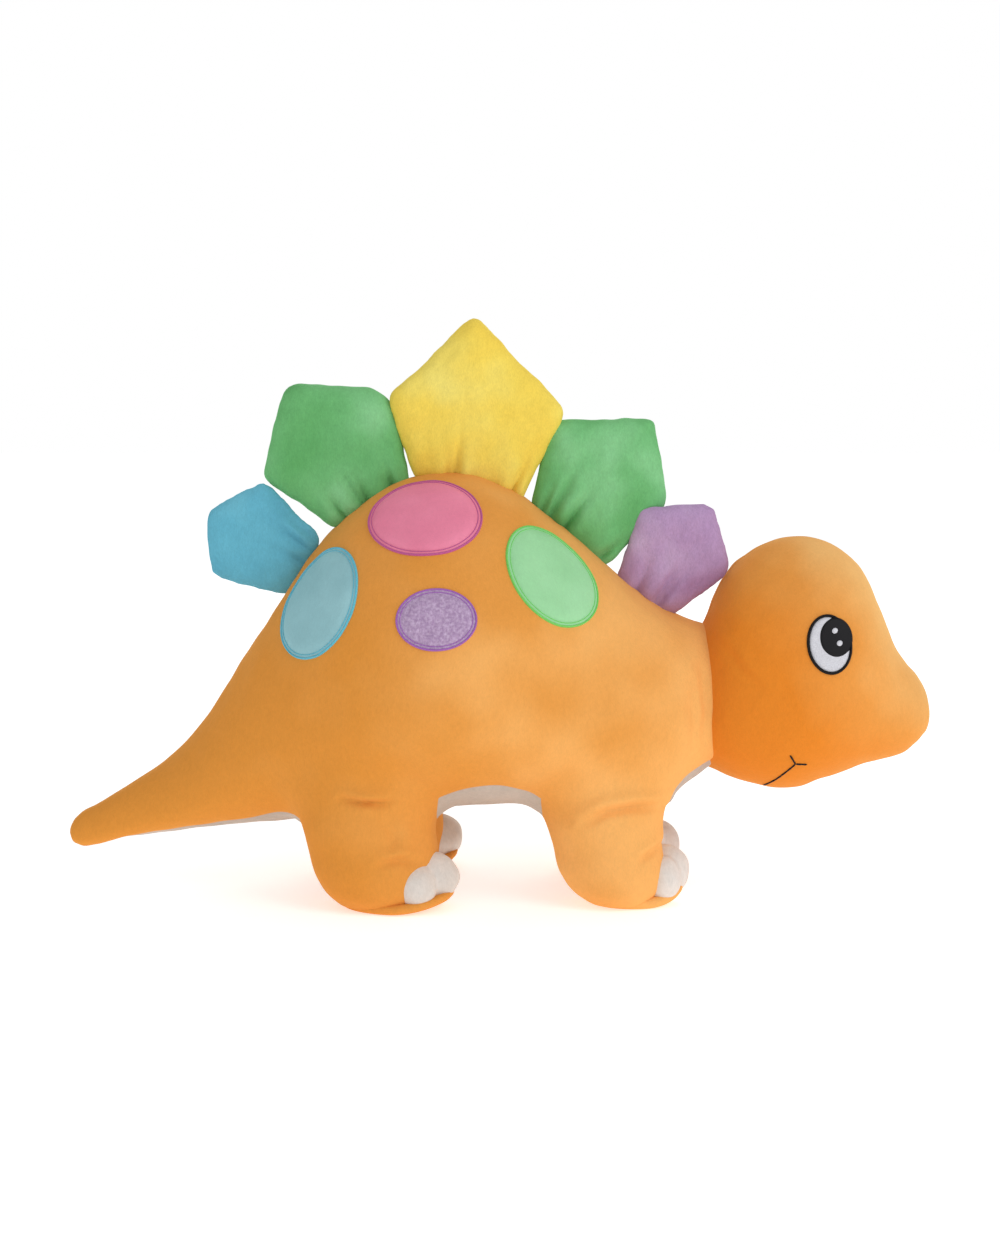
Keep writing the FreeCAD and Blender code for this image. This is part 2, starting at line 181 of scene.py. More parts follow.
# ---- sewn patches in side view: middle x, z, half length, half width, tilt in degrees ----
SPOTS = {
    "pink": ((-40.7, 220, 32.2, 18.6, 5), "pink_plush", "magenta_thread"),
    "light_blue": ((-99.3, 173, 33, 18.5, 60), "light_blue_plush", "cyan_thread"),
    "green": ((29.6, 188.7, 32.2, 19.7, -48), "light_green_plush", "bright_green_thread"),
    "lilac": ((-33.3, 168, 22.3, 16.6, 0), "lilac_plush", "violet_thread"),
}
BORDER_WIDTH = 1.4          # outer satin line
BORDER_RISE = 1.2
SHADE_LINE = (2.2, 0.7)     # painted shade: a second line of border thread laid where a crease's shadow falls inside the border; how far in it starts, and its width
SHADE_LINE_RISE = 1.0
CLOTH_RISE = (0.55, 0.8)    # the patch under both lines: how high it stands, and the width of its turned edge
DOME_RISE = (1.6, 4.5)      # the same for its padded middle
EYE = (184.7, 150.6, 16.5, 12.9, 99)
EYE_OUTLINE = 1.9           # width
EYE_OUTLINE_RISE = 1.5
EYE_TUCK = 0.3              # how far the white goes under the outline
EYE_RISE = (0.9, 1.5)       # how high it stands, and the width of its turned edge
PUPIL_RISE = (1.5, 1.4)
GLINT_RISE = (2.1, 1.0)
PUPIL = (188.3, 154.3, 11.0, 9.7, 95)
GLINTS = [(187.4, 157.9, 2.2, 1.98, 30), (189.9, 151.2, 2.2, 1.98, 30)]
MOUTH_CORNER = (167.4, 82.4)
MOUTH = [[(152.5, 65.8), (158, 71.5), MOUTH_CORNER], [(163.9, 88), MOUTH_CORNER], [MOUTH_CORNER, (174.1, 82)]]
MOUTH_THREAD = 0.5          # radius
MOUTH_STITCH = 4.0          # length of one stitch

# ---- finishes: sRGB tones of the pile (middle, deep, pale), and the rest as in plush() or thread() ----
ALBEDO_SHARE = 1.06         # what the studio's light takes from a colour, given back
TUFT_SCALE = 420
FIBRE_SCALE = 1500
TWIST_SCALE = 1900
EVEN = dict(patch_scale=30, tuft=0.05, speckle=0.05)
PLUSHES = {
    # the body's orange carries painted light: deep at the tail, pale towards the head on the key lamp's side
    "orange_plush": dict(tones=((230, 157, 75), (225, 148, 61), (246, 181, 104)), patch_scale=14, tuft=0.06,
                         speckle=0.06, patches=0.75, painted_light_drift=((1, 0, 0), -170, 150)),
    # painted light: the head's copy of the orange has deeper, more saturated tones for the orange light the
    # body throws onto it, a painted reflection, and it turns from deep low at the rear to pale at the front
    # and top, painted shade and light
    "orange_head_painted_light": dict(tones=((231, 153, 71), (228, 134, 41), (251, 197, 126)), patch_scale=16,
                              tuft=0.05, speckle=0.06, patches=0.35, painted_light_drift=((0.8, 0, 0.6), 180, 300),
                              painted_light_share=0.26),
    # painted shade: the cream's tones are darkened for the shade under the belly; toe_plush is the same white
    # cloth without it
    "cream_plush": dict(tones=((192, 180, 168), (182, 169, 156), (202, 191, 180)), speckle=0.05),
    "toe_plush": dict(tones=((222, 217, 211), (213, 207, 200), (232, 228, 223)), speckle=0.05),
    "blue_plush": dict(tones=((105, 183, 206), (93, 169, 193), (126, 200, 219)), patch_scale=22, tuft=0.08,
                       speckle=0.1),
    "green_plush": dict(tones=((114, 187, 120), (95, 169, 99), (146, 212, 154)), patch_scale=22, speckle=0.1,
                        patches=0.95),
    "yellow_plush": dict(tones=((249, 217, 94), (243, 205, 74), (254, 230, 124)), patch_scale=20, tuft=0.08,
                         speckle=0.1, patches=0.9),
    "purple_plush": dict(tones=((188, 155, 196), (172, 136, 179), (208, 182, 217)), tuft=0.12, speckle=0.14,
                         patches=1.0),
    "pink_plush": dict(tones=((238, 138, 166), (230, 128, 157), (245, 149, 177)), **EVEN),
    "light_blue_plush": dict(tones=((151, 197, 204), (142, 188, 195), (162, 208, 214)), **EVEN),
    "light_green_plush": dict(tones=((159, 217, 164), (149, 208, 154), (170, 226, 175)), **EVEN),
    "lilac_plush": dict(tones=((184, 157, 191), (166, 138, 175), (204, 181, 211)), patch_scale=620, tuft=0.08,
                        speckle=0.16, patches=1.0),
}
THREADS = {
    "magenta_thread": dict(colour=(190, 84, 146)),
    "cyan_thread": dict(colour=(90, 188, 210)),
    "bright_green_thread": dict(colour=(116, 210, 98)),
    "violet_thread": dict(colour=(162, 98, 184)),
    "white_thread": dict(colour=(207, 207, 214)),
    "black_thread": dict(colour=(22, 21, 24), sheen=0.0, roughness=0.6, shine=0.2),
}

# ---- studio ----
ROOM_LIGHT = 0.59           # light that falls on the toy from all round
BACKGROUND_LIGHT = 1.0      # the same white room as the camera sees it
FLOOR_GLOW = 0.5            # lifts the floor to the same white
FLOOR_HALF = 6.0            # metres, as are the lamps' places and sizes
LAMPS = {
    "key": dict(place=(1.3, -1.2, 1.35), energy=11.5, size=1.2),
    "back": dict(place=(0.2, 1.5, 1.3), energy=6, size=1.2),
}
LIT_PLACE = (0, 0, 0.15)    # where the lamps point

# ---- camera: level with the flank, a little above ----
CAMERA_TARGET = (1.2, 0, 155)
CAMERA_DISTANCE = 1250
CAMERA_ELEVATION = 7.0
CAMERA_LENS = 61.9
SENSOR_HEIGHT = 36


# ================ shapes as fields
def smooth_curve(xs, ys):
    """A smooth line through the points, as a function."""
    xs = np.array(xs, float)
    ys = np.array(ys, float)
    slope = np.gradient(ys, xs)

    def value(x):
        x = np.clip(x, xs[0], xs[-1])
        left = np.clip(np.searchsorted(xs, x) - 1, 0, len(xs) - 2)
        width = xs[left + 1] - xs[left]
        t = (x - xs[left]) / width
        ends = (1 + 2 * t) * (1 - t) ** 2 * ys[left] + t * t * (3 - 2 * t) * ys[left + 1]
        bends = t * (1 - t) ** 2 * slope[left] + t * t * (t - 1) * slope[left + 1]
        return ends + width * bends

    return value


def egg_field(rings):
    """About the distance outside a loft of egg-shaped sections along X."""
    xs, bottoms, tops, halves = zip(*rings)
    bottom, top, half = [smooth_curve(xs, ys) for ys in (bottoms, tops, halves)]

    def field(p):
        x, y, z = p[:, 0], p[:, 1], p[:, 2]
        low, high, wide = bottom(x), top(x), half(x)
        middle = low + WIDEST_AT * (high - low)
        upper = z > middle
        reach = np.where(upper, high - middle, middle - low)
        power = np.where(upper, UPPER_POWER, LOWER_POWER)
        ratio = (np.abs(y / wide) ** power + np.abs((z - middle) / reach) ** power) ** (1 / power)
        across = (ratio - 1) * np.minimum(wide, reach)
        return np.maximum(across, np.maximum(xs[0] - x, x - xs[-1]))

    return field


def leg_field(rings, inner_side_only=False):
    """About the distance outside a pair of legs. On their outer side it may count only fore and aft."""
    zs, xs, ys, long_halves, wide_halves = zip(*rings)
    mid_x, mid_y, half_x, half_y = [smooth_curve(zs, v) for v in (xs, ys, long_halves, wide_halves)]

    def field(p):
        x, y, z = p[:, 0], np.abs(p[:, 1]), p[:, 2]
        sideways = (y - mid_y(z)) / half_y(z)
        if inner_side_only:
            sideways = np.minimum(sideways, 0)
        ratio = np.hypot((x - mid_x(z)) / half_x(z), sideways)
        across = (ratio - 1) * np.minimum(half_x(z), half_y(z))
        return np.maximum(across, np.maximum(zs[0] - z, z - zs[-1]))

    return field


def soft_union(a, b, softness):
    """The nearer of two fields, rounded where they meet."""
    mix = np.clip(0.5 + 0.5 * (b - a) / softness, 0, 1)
    return b * (1 - mix) + a * mix - softness * mix * (1 - mix)


body_shape = egg_field(BODY_RINGS)
head_field = egg_field(HEAD_RINGS)
leg_shapes = {name: leg_field(rings) for name, rings in LEG_RINGS.items()}
leg_cloth_shapes = [leg_field(rings, inner_side_only=True) for rings in LEG_RINGS.values()]


def body_field(p):
    value = body_shape(p)
    for shape in leg_shapes.values():
        value = soft_union(value, shape(p), LEG_BLEND)
    return value


# ================ meshes from fields
def surface_net(field, low, high, step):
    """A closed quad mesh of the surface where the field is zero."""
    low = np.array(low, float)
    counts = [int((b - a) / step) + 2 for a, b in zip(low, high)]
    axes = [a + step * np.arange(n) for a, n in zip(low, counts)]
    grid = np.stack(np.meshgrid(*axes, indexing="ij"), -1).reshape(-1, 3)
    inside = (field(grid) < 0).reshape(counts)
    corners = np.zeros([n - 1 for n in counts], int)
    for dx, dy, dz in itertools.product((0, 1), repeat=3):
        corners += inside[dx:counts[0] - 1 + dx, dy:counts[1] - 1 + dy, dz:counts[2] - 1 + dz]
    active = (corners > 0) & (corners < 8)
    number = np.full(active.shape, -1)
    number[active] = np.arange(active.sum())
    points = low + (np.argwhere(active) + 0.5) * step
    quads = []
    for axis in range(3):
        u, v = [a for a in range(3) if a != axis]
        before = np.take(inside, range(counts[axis] - 1), axis)
        after = np.take(inside, range(1, counts[axis]), axis)
        cell = np.argwhere(before != after)
        du, dv = np.eye(3, dtype=int)[u], np.eye(3, dtype=int)[v]
        ring = [number[tuple((cell - shift).T)] for shift in (0 * du, du, du + dv, dv)]
        quad = np.stack(ring, 1)
        outward = before[tuple(cell.T)] ^ (axis == 1)
        quads.append(np.where(outward[:, None], quad, quad[:, ::-1]))
    return points, np.concatenate(quads)


def settle(points, field, rounds=1, reach=2.5):
    """Slide points onto the surface."""
    nudge = 0.15
    for _ in range(rounds):
        slope = np.empty_like(points)
        for axis in range(3):
            shift = np.zeros(3)
            shift[axis] = nudge
            slope[:, axis] = (field(points + shift) - field(points - shift)) / (2 * nudge)
        length = (slope ** 2).sum(1)
        move = -slope * (field(points) / np.maximum(length, 1e-6))[:, None]
        size = np.linalg.norm(move, axis=1)
        points = points + move * np.minimum(1, reach / np.maximum(size, 1e-9))[:, None]
    return points


def edges_of(faces):
    """Every edge once, as pairs of point numbers."""
    pairs = np.concatenate([faces[:, [i, (i + 1) % faces.shape[1]]] for i in range(faces.shape[1])])
    pairs = np.sort(pairs, 1)
    count = faces.max() + 1
    code = np.unique(pairs[:, 0].astype(np.int64) * count + pairs[:, 1])
    return np.stack([code // count, code % count], 1)


def even_out(points, faces, share=0.5):
    """Move every point part of the way to the middle of its neighbours."""
    edges = edges_of(faces)
    count = len(points)
    total = np.zeros_like(points)
    degree = np.bincount(edges.ravel(), minlength=count)
    for axis in range(3):
        total[:, axis] = np.bincount(edges[:, 0], points[edges[:, 1], axis], count)
        total[:, axis] += np.bincount(edges[:, 1], points[edges[:, 0], axis], count)
    mean = total / np.maximum(degree, 1)[:, None]
    return points + share * (mean - points)


def to_triangles(quads):
    return np.concatenate([quads[:, [0, 1, 2]], quads[:, [0, 2, 3]]])


def refine(points, triangles):
    """Cut every triangle into four."""
    edges = edges_of(triangles)
    count = len(points)
    code = edges[:, 0] * count + edges[:, 1]
    middles = (points[edges[:, 0]] + points[edges[:, 1]]) / 2

    def middle(i, j):
        a, b = triangles[:, i], triangles[:, j]
        return count + np.searchsorted(code, np.minimum(a, b) * count + np.maximum(a, b))

    ab, bc, ca = middle(0, 1), middle(1, 2), middle(2, 0)
    a, b, c = triangles.T
    smaller = [(a, ab, ca), (ab, b, bc), (ca, bc, c), (ab, bc, ca)]
    return np.concatenate([points, middles]), np.concatenate([np.stack(t, 1) for t in smaller])


def skin_mesh(field, low, high, step, fine=True):
    """An even triangle mesh of a field's surface."""
    points, quads = surface_net(field, low, high, step)
    for _ in range(3):
        points = settle(even_out(points, quads), field, 2)
    triangles = to_triangles(quads)
    if fine:
        points, triangles = refine(points, triangles)
        points = settle(even_out(points, triangles, 0.3), field, 2)
    return points, triangles


def snap(points, triangles, level):
    """Move the nearest points onto the line where the level is zero, so that mesh edges run along it."""
    value = level(points)
    a, b = edges_of(triangles).T
    crossing = value[a] * value[b] < 0
    a, b = a[crossing], b[crossing]
    share = value[a] / (value[a] - value[b])
    nearer, other = np.where(share < 0.5, (a, b), (b, a))
    share = np.minimum(share, 1 - share)
    order = np.argsort(-share)
    target = points[nearer] + share[:, None] * (points[other] - points[nearer])
    moved = points.copy()
    moved[nearer[order]] = target[order]
    return moved


def point_normals(points, triangles):
    a, b, c = (points[triangles[:, i]] for i in range(3))
    face = np.cross(b - a, c - a)
    total = np.zeros_like(points)
    for axis in range(3):
        for corner in range(3):
            total[:, axis] += np.bincount(triangles[:, corner], face[:, axis], len(points))
    return total / np.maximum(np.linalg.norm(total, axis=1), 1e-12)[:, None]


# ================ shaping the cloth
def lumps(points, size, seed):
    """Slow, even waviness between about -1 and 1, the same every run."""
    chance = np.random.default_rng(seed)
    waves = 9
    total = np.zeros(len(points))
    for _ in range(waves):
        direction = chance.normal(size=3)
        direction *= chance.uniform(0.7, 1.4) / (size * np.linalg.norm(direction))
        total += np.sin(2 * np.pi * (points @ direction) + chance.uniform(0, 2 * np.pi))
    return total / math.sqrt(waves)


def waviness(points, layers):
    """How far slow waves of several sizes push the cloth out or in."""
    return sum(height * lumps(points, size, seed) for height, size, seed in layers)


def line_distance(x, z, path):
    """Distance from a line in side view, signed to its left, and the share of the way along it."""
    path = np.array(path, float)
    lengths = np.linalg.norm(np.diff(path, axis=0), axis=1)
    starts = np.concatenate([[0], np.cumsum(lengths)])
    best = np.full(len(x), 1e9)
    signed = np.full(len(x), 1e9)
    along = np.zeros(len(x))
    for index, length in enumerate(lengths):
        (x0, z0), (x1, z1) = path[index], path[index + 1]
        ux, uz = (x1 - x0) / length, (z1 - z0) / length
        t = np.clip((x - x0) * ux + (z - z0) * uz, 0, length)
        dx, dz = x - x0 - t * ux, z - z0 - t * uz
        distance = np.hypot(dx, dz)
        closer = distance < best
        best = np.where(closer, distance, best)
        signed = np.where(closer, np.copysign(distance, ux * dz - uz * dx), signed)
        along = np.where(closer, (starts[index] + t) / starts[-1], along)
    return signed, along


def fold_depth(points):
    """How far the folds push the skin out (positive) or in."""
    x, z = points[:, 0], points[:, 2]
    total = np.zeros(len(points))
    for path, depth, width, lip in FOLDS:
        signed, along = line_distance(x, z, path)
        strength = np.sin(np.pi * np.clip(0.06 + 0.88 * along, 0, 1)) ** 0.7
        groove = -depth * np.exp(-(signed / width) ** 2)
        ridge = lip * np.exp(-((signed - LIP_PLACE * width) / (LIP_WIDTH * width)) ** 2)
        total += strength * (groove + ridge)
    return total


underside_height = smooth_curve(*zip(*UNDERSIDE_LINE))


def underside_level(points):
    """Negative on the pale underside, positive on the coloured sides and legs."""
    value = points[:, 2] - underside_height(points[:, 0])
    for shape in leg_cloth_shapes:
        value = np.maximum(value, LEG_SEAM_GAP - shape(points))
    return value


def back_level(points):
    """Negative on the right side and positive on the left, wherever the seam along the back can be."""
    over = points[:, 2] > underside_height(points[:, 0]) + BACK_SEAM_START
    return np.where(over, points[:, 1], 1.0)


def leg_level(points):
    """Negative on the legs, below the place where they become pieces of their own."""
    return np.maximum(points[:, 2] - LEG_CUT_Z, LEG_CUT_X - points[:, 0])


def seam_groove(distance):
    return -SEAM_DEPTH * np.exp(-(distance / SEAM_WIDTH) ** 2)


# ================ materials
def linear(colour):
    """The share of light that cloth gives back, from an sRGB colour as seen in the studio's light."""
    share = np.array(colour) / 255
    light = np.where(share <= 0.04045, share / 12.92, ((share + 0.055) / 1.055) ** 2.4)
    return tuple(np.minimum(0.97, ALBEDO_SHARE * light))


class Nodes:
    """A small helper for building a material's nodes."""

    def __init__(self, name):
        self.material = bpy.data.materials.new(name)
        self.material.use_nodes = True
        self.tree = self.material.node_tree
        self.shader = self.tree.nodes["Principled BSDF"]
        self.place = self.add("ShaderNodeTexCoord").outputs["Object"]

    def add(self, kind, inputs=None, **values):
        node = self.tree.nodes.new(kind)
        for key, value in values.items():
            setattr(node, key, value)
        for key, value in (inputs or {}).items():
            node.inputs[key].default_value = value
        return node

    def link(self, start, end):
        self.tree.links.new(start, end)

    def noise(self, scale, detail=2.0, stretch=(1, 1, 1), roughness=0.5):
        mapping = self.add("ShaderNodeMapping", {"Scale": stretch})
        self.link(self.place, mapping.inputs["Vector"])
        noise = self.add("ShaderNodeTexNoise", {"Scale": scale, "Detail": detail, "Roughness": roughness})
        self.link(mapping.outputs["Vector"], noise.inputs["Vector"])
        return noise.outputs["Fac"]

    def along(self, direction, start, end):
        """From -1 to 1 between two distances along a direction."""
        distance = self.add("ShaderNodeVectorMath", {1: direction}, operation="DOT_PRODUCT")
        self.link(self.place, distance.inputs[0])
        span = self.add("ShaderNodeMapRange", {"From Min": start * MM, "From Max": end * MM, "To Min": -1})
        self.link(distance.outputs["Value"], span.inputs["Value"])
        return span.outputs["Result"]

    def ramp(self, factor, stops):
        ramp = self.add("ShaderNodeValToRGB")
        elements = ramp.color_ramp.elements
        while len(elements) < len(stops):
            elements.new(0.5)
        for element, (position, colour) in zip(elements, stops):
            element.position = position
            element.color = (*colour, 1)
        self.link(factor, ramp.inputs["Fac"])
        return ramp.outputs["Color"]

    def mix(self, kind, amount, first, second):
        mix = self.add("ShaderNodeMix", {"Factor": amount}, data_type="RGBA", blend_type=kind)
        self.link(first, mix.inputs["A"])
        self.link(second, mix.inputs["B"])
        return mix.outputs["Result"]

    def softened(self, value, share):
        """A value about 0.5, brought nearer to 0.5."""
        node = self.add("ShaderNodeMath", {1: share, 2: 0.5 * (1 - share)}, operation="MULTIPLY_ADD")
        self.link(value, node.inputs[0])
        return node.outputs["Value"]

    def sum(self, first, second, weight):
        """first + weight * second"""
        node = self.add("ShaderNodeMath", {1: weight}, operation="MULTIPLY_ADD")
        self.link(second, node.inputs[0])
        self.link(first, node.inputs[2])
        return node.outputs["Value"]

    def bump(self, height, strength, distance):
        bump = self.add("ShaderNodeBump", {"Strength": strength, "Distance": distance})
        self.link(height, bump.inputs["Height"])
        self.link(bump.outputs["Normal"], self.shader.inputs["Normal"])

    def set(self, **values):
        for key, value in values.items():
            self.shader.inputs[key.replace("_", " ")].default_value = value


def shade_of(colour, factor):
    """A darker or lighter tone."""
    return tuple(min(1.0, factor * share) for share in colour)


def plush(name, tones, patch_scale=26, tuft=0.1, speckle=0.08, patches=0.7, painted_light_drift=None, painted_light_share=0.3):
    """Short pile: blotches where the nap lies differently, small tufts, and fine fibres.

    patches, tuft and speckle say how strong these are. The last two arguments paint light and shade onto the
    colour: the direction, start and end over which the tone turns from deep, painted shade, to pale, painted
    light, and how strongly it does so."""
    nodes = Nodes(name)
    colour, deep, pale = (linear(tone) for tone in tones)
    blotch = nodes.softened(nodes.noise(patch_scale), patches)
    # painted light and shade: deeper towards the start of the direction, paler towards its end
    if painted_light_drift:
        blotch = nodes.sum(blotch, nodes.along(*painted_light_drift), painted_light_share)
    base = nodes.ramp(blotch, [(0.30, deep), (0.5, colour), (0.72, pale)])
    tufts = nodes.noise(TUFT_SCALE, detail=3.0, stretch=(1, 1, 0.55), roughness=0.6)
    tuft_tone = nodes.ramp(tufts, [(0.3, (1 - tuft,) * 3), (0.7, (1, 1, 1))])
    base = nodes.mix("MULTIPLY", 1.0, base, tuft_tone)
    fibres = nodes.noise(FIBRE_SCALE, stretch=(1, 1, 0.4), roughness=0.7)
    fibre_tone = nodes.ramp(fibres, [(0.35, (1 - speckle,) * 3), (0.65, (1, 1, 1))])
    base = nodes.mix("MULTIPLY", 1.0, base, fibre_tone)
    nodes.link(base, nodes.shader.inputs["Base Color"])
    nodes.bump(nodes.sum(fibres, tufts, 1.0), 0.35, 0.0005)
    nodes.set(Roughness=0.92, Sheen_Weight=0.45, Sheen_Roughness=0.42, Specular_IOR_Level=0.12)
    nodes.set(Sheen_Tint=(*pale, 1))
    return nodes.material


def thread(name, colour, sheen=0.15, roughness=0.42, shine=0.4):
    """Embroidery thread: a soft gloss with fine twist."""
    nodes = Nodes(name)
    colour = linear(colour)
    twist = nodes.noise(TWIST_SCALE, roughness=0.7)
    tone = nodes.ramp(twist, [(0.3, shade_of(colour, 0.78)), (0.7, shade_of(colour, 1.12))])
    nodes.link(tone, nodes.shader.inputs["Base Color"])
    nodes.bump(twist, 0.3, 0.0002)
    nodes.set(Roughness=roughness, Sheen_Weight=sheen, Specular_IOR_Level=shine)
    return nodes.material


def make_materials():
    finishes = {name: plush(name, **look) for name, look in PLUSHES.items()}
    finishes.update({name: thread(name, **look) for name, look in THREADS.items()})
    return finishes


# ================ pieces
def metres(*point):
    return tuple(value * MM for value in point)


def add_object(name, data):
    thing = bpy.data.objects.new(name, data)
    bpy.context.scene.collection.objects.link(thing)
    return thing


def make_piece(name, points, faces, slot, normals=None, keep=None, finish=None):
    """A mesh object in the shared frame, in one of the record's finishes or a variant of it."""
    if keep is not None:
        faces = faces[keep]
        used, inverse = np.unique(faces, return_inverse=True)
        faces = inverse.reshape(faces.shape)
        points = points[used]
        normals = None if normals is None else normals[used]
    mesh = bpy.data.meshes.new(name)
    mesh.from_pydata((points * MM).tolist(), [], faces.tolist())
    mesh.polygons.foreach_set("use_smooth", [True] * len(mesh.polygons))
    mesh.update()
    if normals is not None:
        mesh.normals_split_custom_set_from_vertices(normals.tolist())
    piece = add_object(name, mesh)
    mesh.materials.append(materials[finish or slot])
    return piece


def make_body():
    """The skin of body, tail and legs, cut into its sewn panels, with the neck and the legs as pieces of
    their own.
    """
    points, faces = skin_mesh(body_field, *BODY_BOX, BODY_STEP)
    points = snap(points, faces, back_level)
    points = snap(points, faces, underside_level)
    points = snap(points, faces, lambda p: p[:, 0] - NECK_CUT_X)
    points = snap(points, faces, leg_level)
    centres = points[faces].mean(1)
    under = underside_level(centres) < 0
    legs = leg_level(centres) < 0
    neck = centres[:, 0] > NECK_CUT_X
    right = centres[:, 1] < 0
    normals = point_normals(points, faces)
    seam = underside_level(points)
    back_seam = np.where(points[:, 2] > underside_height(points[:, 0]), points[:, 1], 99)
    push = waviness(points, BODY_WAVES) + fold_depth(points)
    push += seam_groove(seam) + BACK_SEAM_SHARE * seam_groove(back_seam)
    points = points + normals * push[:, None]
    normals = point_normals(points, faces)

    for side in SIDES:
        here = right if side == "right" else ~right
        rear = make_piece(f"side_panel_{side}", points, faces, "orange_plush", normals,
                          here & ~under & ~legs & ~neck)
        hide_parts(f"side_panel_{side}", f"tail_panel_{side}")
        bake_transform(rear)
        front = make_piece(f"side_panel_{side}_neck", points, faces, "orange_plush", normals,
                           here & ~under & ~legs & neck)
        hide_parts(f"side_panel_{side}", "neck_stuffing")
        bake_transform(front)
        for end in LEG_RINGS:
            make_leg_skin(end, side, points, faces, normals, here & legs)
    # the cream on the belly and chest carries painted shade
    belly = make_piece("belly_panel", points, faces, "cream_plush", normals, under & ~legs & ~neck)
    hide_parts("belly_panel", "torso_stuffing", "tail_underside", "tail_stuffing")
    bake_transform(belly)
    chest = make_piece("belly_panel_chest", points, faces, "cream_plush", normals, under & ~legs & neck)
    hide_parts("belly_panel")
    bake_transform(chest)
    return BVHTree.FromPolygons(points.tolist(), faces.tolist())


def bend_leg(piece):
    """Bakes a leg piece's place in the shared frame into its mesh."""
    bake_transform(piece)


def make_leg_skin(end, side, points, faces, normals, legs):
    centres = points[faces].mean(1)
    here = (centres[:, 0] < 0) if end == "rear" else (centres[:, 0] > 0)
    skin = make_piece(f"{end}_leg_{side}_cover", points, faces, "orange_plush", normals, legs & here)
    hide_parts(f"{end}_leg_{side}_cover", f"{end}_leg_{side}_stuffing")
    bend_leg(skin)


def make_head():
    """The head's two panels, sewn along the middle of the head."""
    points, faces = skin_mesh(head_field, *HEAD_BOX, HEAD_STEP)
    points = snap(points, faces, lambda p: p[:, 1])
    normals = point_normals(points, faces)
    push = waviness(points, HEAD_WAVES) + fold_depth(points)
    push += HEAD_SEAM_SHARE * seam_groove(points[:, 1])
    points = points + normals * push[:, None]
    normals = point_normals(points, faces)
    centres = points[faces].mean(1)
    outside = body_shape(centres) > -HEAD_TUCK
    for side, sign in SIDES.items():
        here = outside & (centres[:, 1] * sign > 0)
        # the head panels take the orange with painted reflection and painted light
        panel = make_piece(f"head_panel_{side}", points, faces, "orange_plush", normals, here,
                           "orange_head_painted_light")
        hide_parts(f"head_panel_{side}", "head_stuffing")
        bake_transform(panel)
    return BVHTree.FromPolygons(points.tolist(), faces.tolist())


# ---- feet ----
def foot_place(end, side, forward, outward):
    """A place on the floor plan from a foot's ankle, its toes turned in by a few degrees."""
    x, y = FEET[end]["ankle"]
    turn = math.radians(FEET[end]["turn_in"])
    cos, sin = math.cos(turn), math.sin(turn)
    return x + forward * cos + outward * sin, SIDES[side] * (y - forward * sin + outward * cos)


def make_toes(end, side):
    lobes = []
    for (forward, outward, z), radii in FEET[end]["lobes"]:
        x, y = foot_place(end, side, forward, outward)
        lobes.append((np.array([x, y, z]), np.array(radii)))

    def field(p):
        value = None
        for centre, radii in lobes:
            ratio = np.sqrt((((p - centre) / radii) ** 2).sum(1))
            lobe = (ratio - 1) * radii.min()
            value = lobe if value is None else soft_union(value, lobe, TOE_SOFTNESS)
        return value

    middle = lobes[0][0][:2]
    low = (*(middle + TOE_ROOM[0]), 0)
    high = (*(middle + TOE_ROOM[1]), TOE_TOP)
    points, faces = skin_mesh(field, low, high, TOE_STEP)
    points = points + point_normals(points, faces) * waviness(points, TOE_WAVES)[:, None]
    toes = make_piece(f"{end}_leg_{side}_toes", points, faces, "cream_plush", point_normals(points, faces),
                      finish="toe_plush")
    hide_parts(f"{end}_leg_{side}_toes")
    bend_leg(toes)


def ring_mesh(rings, turned=False):
    """Quads between rings of equally many points, facing the other way if turned."""
    rings = np.array(rings)
    count, around = rings.shape[:2]
    index = np.arange(count * around).reshape(count, around)
    following = np.roll(index, -1, 1)
    quads = np.stack([index[:-1], following[:-1], following[1:], index[1:]], -1).reshape(-1, 4)
    return rings.reshape(-1, 3), quads[:, ::-1] if turned else quads


def make_sole(end, side):
    forward, half_long, half_wide = FEET[end]["sole"]
    angle = np.linspace(0, 2 * np.pi, 96, endpoint=False)
    rings = []
    for share, height in SOLE_PROFILE:
        share = max(share, 0.01)
        x, y = foot_place(end, side, forward + half_long * share * np.cos(angle),
                          half_wide * share * np.sin(angle))
        lift = SOLE_TIP_LIFT * np.clip(share * np.cos(angle), 0, 1) ** 2
        rings.append(np.stack([x, y, height + lift], 1))
    sole = make_piece(f"{end}_leg_{side}_sole", *ring_mesh(rings, turned=SIDES[side] < 0), "orange_plush")
    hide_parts(f"{end}_leg_{side}_sole")
    bend_leg(sole)


# ---- plates ----
def plate_field(corners, half):
    """About the distance outside a flat pad on an outline with soft corners."""
    corners = np.array(corners, float)
    sides = np.roll(corners, -1, 0) - corners
    sides /= np.linalg.norm(sides, axis=1)[:, None]
    inward = np.stack([sides[:, 1], -sides[:, 0]], 1)

    def field(p):
        flat = p[:, [0, 2]]
        inset = np.stack([(flat - corner) @ normal for corner, normal in zip(corners, inward)])
        inset = -PLATE_CORNER * np.log(np.exp(-inset / PLATE_CORNER).sum(0))
        rim = np.maximum(1 - inset / PLATE_EDGE, 0)
        return (np.hypot(rim, p[:, 1] / half) - 1) * half

    return field


